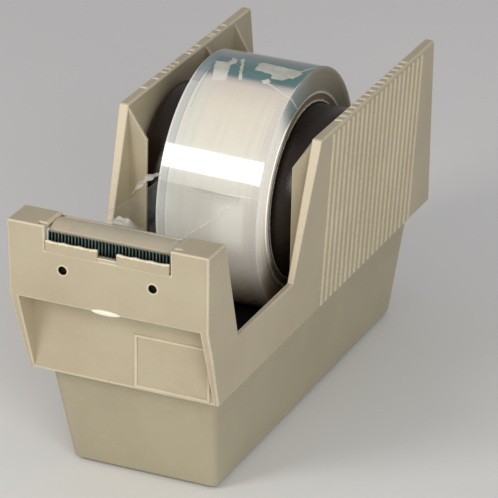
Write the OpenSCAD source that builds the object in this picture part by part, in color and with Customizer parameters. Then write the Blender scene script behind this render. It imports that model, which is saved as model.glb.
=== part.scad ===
// Weighted desk dispenser for wide clear tape on a large core.
// X is the width, -Y is the front with the blade, +Z is up.
// The origin is at the bottom centre of the four feet.

/* [Tape] */
// Width of the tape roll
tape_w = 50.8; // [48:0.2:51]
// Outside diameter of the tape roll
roll_d = 118; // [100:0.2:118.4]
// Outside diameter of the cardboard core
core_d = 93.6; // [88:0.2:94]
// Bore of the cardboard core
core_bore_d = 79.1; // [78.9:0.1:79.4]

/* [Housing] */
// Half width of the housing at the parting line
part_hw = 46.8; // [46.4:0.1:47.4]
// Half width of the side plates at their top edge
plate_hw = 51.3; // [50.8:0.1:52]
// Height of the parting line between tub and housing
part_z = 55.5; // [55:0.1:56]
// Height of the top edge of the side plates
plate_z = 146.3; // [145:0.1:148]
// Height of the flat top of the nose
nose_z = 135.4; // [135:0.1:136]
// Inner half width of the well at the parting line
well_hw = 44.6; // [44.4:0.1:44.8]
// Inner half width of the well at the top edge
well_top_hw = 46.3; // [46:0.1:46.5]

/* [Grip ribs] */
// Number of vertical ribs on each side plate
rib_n = 20; // [12:1:20]
// Spacing of the ribs
rib_pitch = 5.8; // [5:0.1:5.8]
// Width of one rib
rib_w = 2.0; // [1.2:0.1:2.6]
// Height of a rib above the plate
rib_h = 0.8; // [0.4:0.1:1.2]

/* [Blade] */
// Number of teeth on the cutting blade
teeth_n = 36; // [24:1:44]
// Length of the blade
blade_l = 58.8; // [56:0.2:59]
// Half width of the notch in the nose
notch_hw = 30.4; // [30.2:0.1:31]

/* [Hub] */
// Height of the hub axis
hub_z = 99.6; // [99.2:0.1:100.5]
// Distance of the hub axis behind the middle of the housing
hub_y = 27.5; // [26.8:0.1:27.6]
// Diameter of the axle rod
axle_d = 8; // [7:0.5:9]
// Running clearance on the radius between axle rod and bushes
axle_gap = 0.06; // [0.02:0.01:0.1]
// Radius of the hub shoulders outside the core
shoulder_r = 41.5; // [41:0.1:41.6]

/* [Base] */
// Half width of the tub at its foot
tub_foot_hw = 36; // [35:0.5:37]
// Half width of the tub at the parting line
tub_top_hw = 41; // [40.5:0.1:41.5]
// Height of the rubber feet
foot_h = 1.5; // [1:0.1:2]

/* [Hidden] */

beige = [0.74, 0.69, 0.57];
beige_dark = [0.66, 0.61, 0.50];
hub_brown = [0.15, 0.11, 0.10];
steel = [0.72, 0.73, 0.75];
blade_dark = [0.13, 0.16, 0.17];
rubber_black = [0.08, 0.08, 0.08];
stone_grey = [0.55, 0.54, 0.51];
card_brown = [0.55, 0.47, 0.36];
film_clear = [0.90, 0.89, 0.84];
black_floor = [0.06, 0.06, 0.06];

e = 0.01;
big = 400;
// side outline of the housing: front edge of the cheeks, nose, V cut, plate, rear
nose_front_y = -136.5;
nose_foot_y = -134.8;
nose_foot_z = 98.1;
nose_rear_y = -118.3;
panel_y = -118.6;
cut_front_y = -101;
cut_z = 83;
cut_rear_y = -40;
plate_front_y = -17.5;
plate_rear_y = 123.5;
rear_y = 136.5;
wall = 3;
flange_t = 2.5;
rear_wall_z = 86;
axle_r = axle_d/2;
rib_y0 = -3;
roll_r = roll_d/2;
core_r = core_d/2;
bore_r = core_bore_d/2;
drum_r = bore_r - 0.05;
gusset_in = 36.8;
cradle_in = 43.9;
pin_x = 21.85;
pin_z = 115.2;
bar_z = 120.4;
// tub: half width and the two end lines at height z
function lerp(a, b, t) = a + (b - a)*t;
function tub_hw(z) = lerp(tub_foot_hw, tub_top_hw, z/part_z);
function tub_front(z) = lerp(-95.8, -110.4, z/part_z);
function tub_rear(z) = lerp(115.7, 125.5, z/part_z);
function house_hw(z) = lerp(part_hw, plate_hw, (z - part_z)/(plate_z - part_z));
function well_at(z) = lerp(well_hw, well_top_hw, (z - part_z)/(plate_z - part_z));

// extrude an outline drawn in Y and Z along X, centred
module along_x(len) { rotate([90, 0, 90]) linear_extrude(height = len, center = true) children(); }
// extrude an outline drawn in X and Z along Y, from y0 to y1
module along_y(y0, y1) { translate([0, y1, 0]) rotate([90, 0, 0]) linear_extrude(height = y1 - y0) children(); }
// cylinder along X from x0 to x1
module rod_x(r, x0, x1, y = 0, z = 0, fn = 96) { translate([x0, y, z]) rotate([0, 90, 0]) cylinder(r = r, h = x1 - x0, $fn = fn); }
// cylinder along Y from y0 to y1
module rod_y(r, y0, y1, x = 0, z = 0, fn = 48) { translate([x, y1, z]) rotate([90, 0, 0]) cylinder(r = r, h = y1 - y0, $fn = fn); }
// block between two corners
module block(a, b) { translate(a) cube([b[0] - a[0], b[1] - a[1], b[2] - a[2]]); }
// the same thing on both sides of the middle
module both() { children(); mirror([1, 0, 0]) children(); }
// turned shape about the hub axis: points are [distance along X, radius]
module turned_x(fn = 120) { translate([0, hub_y, hub_z]) rotate([0, 90, 0]) rotate_extrude($fn = fn) children(); }

// ---- upper housing ----
module housing_outline() {
  polygon([[panel_y, part_z], [nose_foot_y, nose_foot_z], [nose_front_y, nose_z],
    [nose_rear_y, nose_z - 0.2], [cut_front_y, cut_z], [cut_rear_y, cut_z],
    [plate_front_y, plate_z], [plate_rear_y, plate_z], [rear_y, part_z]]);
}
module housing_outer(extra = 0) {
  intersection() {
    along_x(140) housing_outline();
    union() {
      // the side plates splay outwards from the parting line to their top edge
      along_y(cut_front_y, 160) polygon([[-part_hw - extra, part_z], [part_hw + extra, part_z],
        [plate_hw + extra, plate_z], [-plate_hw - extra, plate_z]]);
      // the nose splays less above the bottom of the cut
      along_y(-160, cut_front_y) polygon([[-part_hw, part_z], [part_hw, part_z], [house_hw(cut_z), cut_z],
        [48.9, nose_z], [48.9, nose_z + 1], [-48.9, nose_z + 1], [-48.9, nose_z], [-house_hw(cut_z), cut_z]]);
    }
  }
}
module housing_well() {
  top = 200;
  intersection() {
    along_x(140) polygon([[panel_y + wall, part_z + flange_t], [panel_y + wall, nose_foot_z + wall],
      [nose_foot_y + wall + 0.1, nose_foot_z + wall], [nose_front_y + wall + 0.1, nose_z - wall],
      [-117, nose_z - wall], [-117, top], [160, top], [160, rear_wall_z],
      [lerp(rear_y, plate_rear_y, (rear_wall_z - part_z)/(plate_z - part_z)) - wall, rear_wall_z],
      [rear_y - wall - 0.4, part_z + flange_t]]);
    along_y(-160, 170) polygon([[-well_at(part_z), part_z], [well_at(part_z), part_z], [well_at(top), top], [-well_at(top), top]]);
  }
}
// stiffening rib that stands on the flange inside a plate
module gusset(y, knee) {
  along_y(y, y + 2) polygon([[gusset_in, part_z + 1], [gusset_in, knee], [well_at(plate_z) + 0.6, plate_z - 0.6],
    [well_at(plate_z) + 1.8, plate_z - 0.6], [part_hw - 0.8, part_z + 1]]);
}
// open cradle on the inside of a plate that carries one end of the axle
module cradle() {
  difference() {
    intersection() {
      block([cradle_in, hub_y - 8, 88], [47.6, hub_y + 8, 134]);
      along_y(hub_y - 9, hub_y + 9) polygon([[40, 80], [house_hw(80) - 0.8, 80], [house_hw(140) - 0.8, 140], [40, 140]]);
    }
    rod_x(axle_r + 0.08, 40, 45.6, hub_y, hub_z, 64);
    block([40, hub_y - axle_r - 0.08, hub_z], [45.6, hub_y + axle_r + 0.08, 140]);
    // lead-in at the mouth of the slot
    translate([40, hub_y, 134]) rotate([45, 0, 0]) cube([8, 8, 8], center = true);
  }
}
module plate_ribs() {
  intersection() {
    housing_outer(rib_h);
    union() for (i = [0:rib_n - 1]) both()
      block([part_hw - 1.5, rib_y0 + i*rib_pitch - rib_w/2, part_z], [plate_hw + 3, rib_y0 + i*rib_pitch + rib_w/2, plate_z - 1.6]);
  }
}
// low ridges across the top edge of each plate, in line with the ribs
module top_ridges() {
  for (i = [2:rib_n - 4]) both()
    block([well_top_hw + 0.6, rib_y0 + i*rib_pitch - rib_w/2, plate_z - 1], [plate_hw - 0.5, rib_y0 + i*rib_pitch + rib_w/2, plate_z + 0.45]);
}
module upper_housing() {
  color(beige) difference() {
    union() {
      difference() {
        housing_outer();
        housing_well();
        // recess under the nose, closed at both sides by the cheeks
        block([-44.3, -150, part_z - 1], [44.3, panel_y, nose_foot_z - 0.05]);
      }
      both() { gusset(-17.6, 130); gusset(69.5, 132); gusset(103.5, 128); cradle(); }
      plate_ribs();
      top_ridges();
      // raised rims round the two pin holes
      both() rod_y(2.8, -136.0, -134.5, pin_x, pin_z);
      // bosses over the joint screws
      both() for (y = [-100, 115.5]) translate([30, y, part_z + 0.5]) cylinder(r = 5, h = flange_t + 1.5, $fn = 48);
      // raised frame on the recessed panel
      difference() {
        block([5.4, panel_y - 0.7, 56.6], [42.6, panel_y + 0.5, 83]);
        block([6.8, panel_y - 2, 58.2], [41.2, panel_y - 0.0, 81.5]);
      }
      // thumb rest on the lower edge of the nose
      intersection() {
        translate([-1.4, -134.6, 98.4]) rotate([0, 0, 0]) sphere(r = 7, $fn = 64);
        block([-10, -135.6, 97.0], [8, -133, 99.6]);
      }
    }
    // opening of the well through the flange
    block([-36.4, -90, part_z - 1], [36.4, 106, part_z + flange_t + 0.5]);
    // notch for the blade holder
    block([-notch_hw, -150, 123.5], [notch_hw, -117.5, 150]);
    // bores for the holder pins
    both() rod_y(1.75, -140, -130, pin_x, pin_z);
    // small steps at the inner ends of the nose top
    both() block([notch_hw - 1, -134.6, nose_z - 0.9], [notch_hw + 4.2, -132.6, nose_z + 1]);
    // bores for the joint screws
    both() for (y = [-100, 115.5]) translate([30, y, part_z - 2]) cylinder(r = 1.5, h = 5.2, $fn = 32);
  }
}

// ---- base ----
module tub_shape(z0, z1, inset) {
  intersection() {
    along_x(120) polygon([[tub_front(z0) + inset, z0], [tub_rear(z0) - inset, z0], [tub_rear(z1) - inset, z1], [tub_front(z1) + inset, z1]]);
    along_y(-150, 160) polygon([[-tub_hw(z0) + inset, z0], [tub_hw(z0) - inset, z0], [tub_hw(z1) - inset, z1], [-tub_hw(z1) + inset, z1]]);
  }
}
module base_tub() {
  color(beige_dark) difference() {
    union() {
      difference() {
        tub_shape(foot_h, part_z, 0);
        tub_shape(foot_h - 1, part_z + 2, wall);
      }
      // bosses for the bottom screws
      intersection() {
        union() both() for (y = [-85, 104]) {
          translate([27, y, 4]) cylinder(r = 4.2, h = 16, $fn = 48);
          block([27, y - 1.5, 4], [38, y + 1.5, 20]);
        }
        tub_shape(foot_h, part_z, 1);
      }
      // bosses for the joint screws
      intersection() {
        union() both() for (y = [-100, 115.5]) {
          translate([30, y, 39]) cylinder(r = 5, h = part_z - 39, $fn = 48);
          block([30, y - 2, 39], [42, y + 2, part_z]);
        }
        tub_shape(foot_h, part_z, 1);
      }
    }
    both() for (y = [-85, 104]) translate([27, y, 0]) cylinder(r = 1.5, h = 17, $fn = 32);
    both() for (y = [-100, 115.5]) translate([30, y, 38]) cylinder(r = 2.1, h = 20, $fn = 32);
    both() for (y = [-100, 115.5]) translate([30, y, 38]) cylinder(r = 3.9, h = 10, $fn = 32);
  }
}
module bottom_plate() {
  color(beige_dark) difference() {
    tub_shape(foot_h, foot_h + 2.5, wall + 0.2);
    both() for (y = [-85, 104]) translate([27, y, 0]) cylinder(r = 1.9, h = 10, $fn = 32);
    both() for (y = [-85, 104]) translate([27, y, 0]) cylinder(r = 3.4, h = foot_h + 1.2, $fn = 32);
  }
}
module ballast_block() {
  color(stone_grey) difference() {
    tub_shape(4.2, 35.8, wall + 0.6);
    both() for (y = [-85, 104]) block([20, y - 12, 0], [50, y + 12, 21]);
    block([-60, -130, 0], [60, -88, 60]);
    block([-60, 108, 0], [60, 140, 60]);
  }
}
module well_floor() {
  color(black_floor) tub_shape(36.0, 37.6, wall + 0.5);
}
module rubber_feet() {
  color(rubber_black) both() for (y = [-68, 88]) translate([22, y, 0]) cylinder(r = 7, h = foot_h, $fn = 64);
}
module screw(r, len, head_r, head_h) {
  difference() {
    union() {
      cylinder(r = head_r, h = head_h, $fn = 48);
      translate([0, 0, head_h - e]) cylinder(r = r, h = len, $fn = 32);
    }
    for (a = [0, 90]) rotate([0, 0, a]) translate([-head_r*0.62, -0.45, -1]) cube([head_r*1.24, 0.9, 1 + head_h*0.45]);
  }
}
module base_screws() {
  color(steel) both() for (y = [-85, 104]) translate([27, y, foot_h + 0.1]) screw(1.5, 12, 3.1, 1.1);
}
module joint_screws() {
  color(steel) both() for (y = [-100, 115.5]) translate([30, y, 45.6]) screw(1.5, 10.5, 3.6, 2.4);
}

// ---- blade group in the nose ----
module blade_holder() {
  color(beige) difference() {
    union() {
      // floor of the holder
      block([-30.0, -136.3, 123.6], [30.0, -119.5, 125.1]);
      // front lip in two halves
      for (s = [-1, 1]) difference() {
        block([min(s*4.6, s*30.0), -136.7, 123.6], [max(s*4.6, s*30.0), -135.1, 128.8]);
        for (i = [0:2]) rod_y(18, -140, -130, s*(9.8 + 7.6*i), 146.4, 96);
      }
      // lugs behind the front wall
      both() block([pin_x - 4, -131.6, 109], [pin_x + 4, -129.2, 124]);
    }
    both() rod_y(1.5, -140, -125, pin_x, pin_z);
  }
}
module landing_bar() {
  color(beige) difference() {
    intersection() {
      rod_x(14, -30.2, 30.2, -124.7, bar_z, 180);
      block([-30.2, -131.9, 125.15], [30.2, -118.9, 140]);
    }
    for (i = [-1, 0, 1]) block([i*19.6 - 8.6, -129.6, 124], [i*19.6 + 8.6, -121, 132]);
  }
}
// corrugated strip with points at its top edge
module blade() {
  p = blade_l/teeth_n;
  t = 0.55;
  color(blade_dark) intersection() {
    translate([0, 0, 125.2]) linear_extrude(height = 8.9) polygon(concat(
      [for (i = [0:2*teeth_n]) [-blade_l/2 + i*p/2, -134.5 + (i % 2)*1.1]],
      [for (i = [2*teeth_n:-1:0]) [-blade_l/2 + i*p/2, -134.5 + (i % 2)*1.1 + t]]));
    // the top is ground to a slope so that every front ridge ends in a point
    along_x(80) polygon([[-136, 120], [-136, bar_z + 12.9], [-134.5, bar_z + 12.7], [-132.4, bar_z + 10], [-132.4, 120]]);
  }
}
module holder_pins() {
  color(steel) both() rod_y(1.5, -134.2, -127.5, pin_x, pin_z);
}

// ---- axle and tape path ----
module axle_rod() {
  g = 0.55;
  color(steel) turned_x(64) polygon([for (p = [[0, -45], [axle_r - 0.5, -45], [axle_r, -44.5],
    [axle_r, -42.35], [axle_r - g, -42.35], [axle_r - g, -41.45], [axle_r, -41.45],
    [axle_r, 41.45], [axle_r - g, 41.45], [axle_r - g, 42.35], [axle_r, 42.35],
    [axle_r, 44.5], [axle_r - 0.5, 45], [0, 45]]) p]);
}
module retaining_rings() {
  color(steel) both() difference() {
    rod_x(7, 41.5, 42.3, hub_y, hub_z, 64);
    rod_x(axle_r - 0.5, 41, 43, hub_y, hub_z, 64);
    // open mouth of the ring
    block([41, hub_y - 2.4, hub_z - 12], [43, hub_y + 2.4, hub_z - 1]);
  }
}
// clear tape from the roll to the landing bar and over it to the teeth
strip_t = 0.3;
strip_a = 163;
strip_r = roll_r + 0.5;
strip_s = [hub_y + strip_r*cos(strip_a), hub_z + strip_r*sin(strip_a)];
strip_e = [-119.6, bar_z + 13.4];
strip_sag = 3.5;
// centre line: shallow hanging curve, then an arc over the landing bar
function strip_free(t) = [lerp(strip_s[0], strip_e[0], t), lerp(strip_s[1], strip_e[1], t) - 4*strip_sag*t*(1 - t)];
function strip_bar(a) = [-124.7 + 14.25*sin(a), bar_z + 14.25*cos(a)];
function strip_line() = concat([for (a = [148:5:163]) [hub_y + strip_r*cos(a), hub_z + strip_r*sin(a)]],
  [for (i = [1:11]) strip_free(i/12)], [for (a = [20:-5:-30]) strip_bar(a)]);
function unit2(v) = v/norm(v);
function side2(v) = [-v[1], v[0]];
module tape_strip() {
  L = strip_line();
  n = len(L) - 1;
  N = [for (i = [0:n]) side2(unit2(L[min(i + 1, n)] - L[max(i - 1, 0)]))];
  color(film_clear) along_x(tape_w - 1.2) polygon(concat([for (i = [0:n]) L[i] - N[i]*strip_t/2],
    [for (i = [n:-1:0]) L[i] + N[i]*strip_t/2]));
}

// ---- hub, core and roll ----
// one half of the hub: shoulder outside the core, drum inside it, web and boss
module hub_half() {
  difference() {
    turned_x() difference() {
      union() {
        // drum and shoulder, with a round outer edge
        translate([0, 0.2]) square([drum_r, 25.6]);
        translate([0, tape_w/2 + 0.3]) square([shoulder_r, 43.4 - tape_w/2 - 0.3 - 3]);
        translate([0, 40]) square([shoulder_r - 3, 3.4]);
        translate([shoulder_r - 3, 40.4]) circle(r = 3, $fn = 64);
      }
      // hollow behind the web
      translate([10, 2.4]) square([drum_r - 3 - 10, 35.6]);
      // recess in front of the web
      translate([10, 41]) square([shoulder_r - 4 - 10, 10]);
      translate([0, 41.2]) square([10.1, 10]);
      // middle of the drum behind the boss
      translate([0, -1]) square([10.1, 30]);
      // seat of the bush
      translate([0, 20]) square([6, 30]);
    }
    // windows in the web
    for (a = [30:60:330]) rotate_hub(a) rod_x(7, 36, 44, 0, 23);
    // bores for the joining screws
    for (a = [0, 120, 240]) rotate_hub(a) rod_x(1.6, -1, 8, 0, 23);
  }
}
module rotate_hub(a) { translate([0, hub_y, hub_z]) rotate([a, 0, 0]) children(); }
module hub_left() { color(hub_brown) mirror([1, 0, 0]) hub_half(); }
module hub_right() { color(hub_brown) hub_half(); }
module hub_bushes() {
  color([0.85, 0.84, 0.80]) both() difference() {
    rod_x(6, 29.5, 41.2, hub_y, hub_z, 64);
    rod_x(axle_r + axle_gap, 29, 42, hub_y, hub_z, 64);
  }
}
module hub_screws() {
  color(steel) for (a = [0, 120, 240]) rotate_hub(a) translate([5.1, 0, 23]) rotate([0, -90, 0]) screw(1.6, 6.5, 3.2, 2.6);
}
module core() {
  color(card_brown) difference() {
    rod_x(core_r, -tape_w/2, tape_w/2, hub_y, hub_z, 120);
    rod_x(bore_r, -40, 40, hub_y, hub_z, 120);
  }
}
module tape_roll() {
  color(film_clear) difference() {
    rod_x(roll_r, -tape_w/2, tape_w/2, hub_y, hub_z, 160);
    rod_x(core_r + 0.02, -40, 40, hub_y, hub_z, 120);
  }
}

upper_housing();
base_tub();
bottom_plate();
ballast_block();
well_floor();
rubber_feet();
base_screws();
joint_screws();
blade_holder();
blade();
landing_bar();
holder_pins();
axle_rod();
retaining_rings();
tape_strip();
hub_left();
hub_right();
hub_bushes();
hub_screws();
core();
tape_roll();
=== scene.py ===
"""Desktop tape dispenser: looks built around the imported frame. Lengths in the mesh code are millimetres, scaled to metres at the end of each piece."""

import math
import random

import bmesh
import bpy
import numpy as np
from mathutils import Matrix, Quaternion, Vector, noise


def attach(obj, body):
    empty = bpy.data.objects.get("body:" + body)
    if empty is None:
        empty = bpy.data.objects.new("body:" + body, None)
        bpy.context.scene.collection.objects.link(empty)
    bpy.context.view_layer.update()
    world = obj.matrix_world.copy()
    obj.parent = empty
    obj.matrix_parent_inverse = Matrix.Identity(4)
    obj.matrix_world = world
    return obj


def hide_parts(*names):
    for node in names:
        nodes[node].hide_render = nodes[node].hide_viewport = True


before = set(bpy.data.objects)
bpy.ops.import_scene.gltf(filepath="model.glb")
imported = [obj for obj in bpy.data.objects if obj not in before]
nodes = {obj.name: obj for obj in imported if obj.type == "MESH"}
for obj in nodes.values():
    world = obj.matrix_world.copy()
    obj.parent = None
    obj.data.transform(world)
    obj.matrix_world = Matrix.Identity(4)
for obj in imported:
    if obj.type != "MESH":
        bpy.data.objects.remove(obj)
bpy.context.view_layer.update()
scene = bpy.context.scene
MM = 0.001
rnd = random.Random(7)

# ------------------------------------------------------------------ sizes shared with the design
PART_Z, PLATE_Z, NOSE_Z, CUT_Z = 55.5, 146.3, 135.4, 83.0
HUB_Y, HUB_Z = 27.5, 99.6
ROLL_R, CORE_R, BORE_R, DRUM_R, SHOULDER_R = 59.0, 46.8, 39.55, 39.5, 41.5
TAPE_HW = 25.4
PANEL_Y = -118.6
BAR_Z = 120.4


def hx(z):
    return 46.8 + 4.5 * (z - PART_Z) / (PLATE_Z - PART_Z)


def nx(z):
    return hx(CUT_Z) + (48.9 - hx(CUT_Z)) * (z - CUT_Z) / (NOSE_Z - CUT_Z)


def wx(z):
    return 44.6 + 1.7 * (z - PART_Z) / (PLATE_Z - PART_Z)


def lerp(a, b, t):
    return a + (b - a) * t


def smooth(a, b, v):
    t = min(1.0, max(0.0, (v - a) / (b - a)))
    return t * t * (3 - 2 * t)


# ------------------------------------------------------------------ mesh helpers
def mesh_object(name, verts, faces):
    me = bpy.data.meshes.new(name)
    me.from_pydata([tuple(v) for v in verts], [], [tuple(f) for f in faces])
    bm = bmesh.new()
    bm.from_mesh(me)
    bmesh.ops.recalc_face_normals(bm, faces=bm.faces)
    bm.to_mesh(me)
    bm.free()
    o = bpy.data.objects.new(name, me)
    scene.collection.objects.link(o)
    return o


def block(name, a, b):
    (x0, y0, z0), (x1, y1, z1) = a, b
    v = [(x, y, z) for x in (x0, x1) for y in (y0, y1) for z in (z0, z1)]
    f = [(0, 1, 3, 2), (4, 6, 7, 5), (0, 4, 5, 1), (2, 3, 7, 6), (0, 2, 6, 4), (1, 5, 7, 3)]
    return mesh_object(name, v, f)


def prism_yz(name, outline, xr, xl=None):
    """Solid between a left and a right copy of an outline in Y and Z; xr(y, z) is the right copy's X."""
    xl = xl or (lambda y, z: -xr(y, z))
    n = len(outline)
    v = [(xl(y, z), y, z) for y, z in outline] + [(xr(y, z), y, z) for y, z in outline]
    f = [list(range(n)), list(range(n, 2 * n))]
    f += [(i, (i + 1) % n, n + (i + 1) % n, n + i) for i in range(n)]
    return mesh_object(name, v, f)


def prism_xz(name, outline, y0, y1):
    n = len(outline)
    v = [(x, y0, z) for x, z in outline] + [(x, y1, z) for x, z in outline]
    f = [list(range(n)), list(range(n, 2 * n))]
    f += [(i, (i + 1) % n, n + (i + 1) % n, n + i) for i in range(n)]
    return mesh_object(name, v, f)


def cylinder(name, axis, r, a, b, c0, c1, seg=48):
    """Cylinder along 'x', 'y' or 'z' from a to b, centred at (c0, c1) in the other two axes."""
    v, f = [], []
    for s in (a, b):
        for i in range(seg):
            t = 2 * math.pi * i / seg
            p, q = c0 + r * math.cos(t), c1 + r * math.sin(t)
            v.append({"x": (s, p, q), "y": (p, s, q), "z": (p, q, s)}[axis])
    f = [list(range(seg)), list(range(seg, 2 * seg))]
    f += [(i, (i + 1) % seg, seg + (i + 1) % seg, seg + i) for i in range(seg)]
    return mesh_object(name, v, f)


def rings(name, loops, closed=True, caps=False):
    """Skin through loops of equal length; closed joins the last loop to the first."""
    n, m = len(loops[0]), len(loops)
    v = [p for loop in loops for p in loop]
    f = []
    for j in range(m if closed else m - 1):
        k = (j + 1) % m
        f += [(j * n + i, j * n + (i + 1) % n, k * n + (i + 1) % n, k * n + i) for i in range(n)]
    if caps:
        f += [list(range(n)), list(range((m - 1) * n, m * n))]
    return mesh_object(name, v, f)


def lathe_x(name, profile, seg=192, cy=HUB_Y, cz=HUB_Z):
    """Closed profile [(x, r)] turned about the X axis at (cy, cz)."""
    loops = []
    for i in range(seg):
        t = 2 * math.pi * i / seg
        loops.append([(x, cy + r * math.cos(t), cz + r * math.sin(t)) for x, r in profile])
    return rings(name, loops)


def boolean(a, b, op):
    m = a.modifiers.new("cut", "BOOLEAN")
    m.operation, m.solver, m.object = op, "EXACT", b
    bpy.context.view_layer.update()
    dg = bpy.context.evaluated_depsgraph_get()
    me = bpy.data.meshes.new_from_object(a.evaluated_get(dg))
    a.modifiers.clear()
    old = a.data
    a.data = me
    bpy.data.meshes.remove(old)
    bpy.data.objects.remove(b)
    return a


def join(name, objs):
    """One object from several; every shell stays closed and keeps its material numbers."""
    bm = bmesh.new()
    for o in objs:
        bm.from_mesh(o.data)
    me = bpy.data.meshes.new(name)
    bm.to_mesh(me)
    bm.free()
    out = bpy.data.objects.new(name, me)
    scene.collection.objects.link(out)
    for o in objs:
        bpy.data.objects.remove(o)
    return out


def copy_node(name, new_name):
    """A working copy of a CAD node's mesh in millimetres, doubles merged and flat areas made whole."""
    me = nodes[name].data.copy()
    me.name = new_name
    me.transform(Matrix.Scale(1000, 4))
    me.materials.clear()
    bm = bmesh.new()
    bm.from_mesh(me)
    bmesh.ops.remove_doubles(bm, verts=bm.verts, dist=0.004)
    bmesh.ops.dissolve_limit(bm, angle_limit=math.radians(0.5), verts=bm.verts, edges=bm.edges)
    bmesh.ops.recalc_face_normals(bm, faces=bm.faces)
    bm.to_mesh(me)
    bm.free()
    for attr in [a.name for a in me.attributes if a.name == "custom_normal"]:
        me.attributes.remove(me.attributes[attr])
    o = bpy.data.objects.new(new_name, me)
    scene.collection.objects.link(o)
    return o


def bevel(o, width, weight=None, angle=28, segments=3, edge_slot=None):
    """Rounds the sharp edges. weight(edge) gives a share of width per edge, 0 for none."""
    bm = bmesh.new()
    bm.from_mesh(o.data)
    bmesh.ops.remove_doubles(bm, verts=bm.verts, dist=0.002)
    bmesh.ops.dissolve_limit(bm, angle_limit=math.radians(0.5), verts=bm.verts, edges=bm.edges)
    layer = bm.edges.layers.float.get("bevel_weight_edge") or bm.edges.layers.float.new("bevel_weight_edge")
    for e in bm.edges:
        w = 0.0
        if e.is_manifold and e.calc_face_angle(0) > math.radians(angle):
            w = 1.0 if weight is None else weight(e)
        e[layer] = w
    bm.to_mesh(o.data)
    bm.free()
    m = o.modifiers.new("round", "BEVEL")
    m.width, m.segments, m.limit_method, m.profile = width, segments, "WEIGHT", 0.5
    m.use_clamp_overlap, m.loop_slide, m.offset_type = False, True, "OFFSET"
    if edge_slot is not None:
        while len(o.data.materials) <= edge_slot:
            o.data.materials.append(None)
        m.material = edge_slot
    dg = bpy.context.evaluated_depsgraph_get()
    me = bpy.data.meshes.new_from_object(o.evaluated_get(dg))
    o.modifiers.clear()
    o.data = me
    return o


def shade(o, sharp=42, weighted=True):
    bm = bmesh.new()
    bm.from_mesh(o.data)
    for f in bm.faces:
        f.smooth = True
    for e in bm.edges:
        e.smooth = not (e.is_manifold and e.calc_face_angle(0) > math.radians(sharp))
    bm.to_mesh(o.data)
    bm.free()
    if weighted:
        m = o.modifiers.new("normals", "WEIGHTED_NORMAL")
        m.keep_sharp, m.weight, m.mode = True, 50, "FACE_AREA"
    return o


def paint(o, i):
    while len(o.data.materials) <= i:
        o.data.materials.append(None)
    o.data.polygons.foreach_set("material_index", [i] * len(o.data.polygons))
    return o


def place(o, body, materials, replaces=None, grid=None):
    """Scales a finished piece to metres, gives it its materials and lets it ride on its body."""
    o.data.transform(Matrix.Scale(MM, 4))
    index = [p.material_index for p in o.data.polygons]
    o.data.materials.clear()
    for m in materials:
        o.data.materials.append(m)
    o.data.polygons.foreach_set("material_index", [min(i, len(materials) - 1) for i in index])
    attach(o, body)
    if replaces:
        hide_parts(*([replaces] if isinstance(replaces, str) else replaces))
    return o


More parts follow.
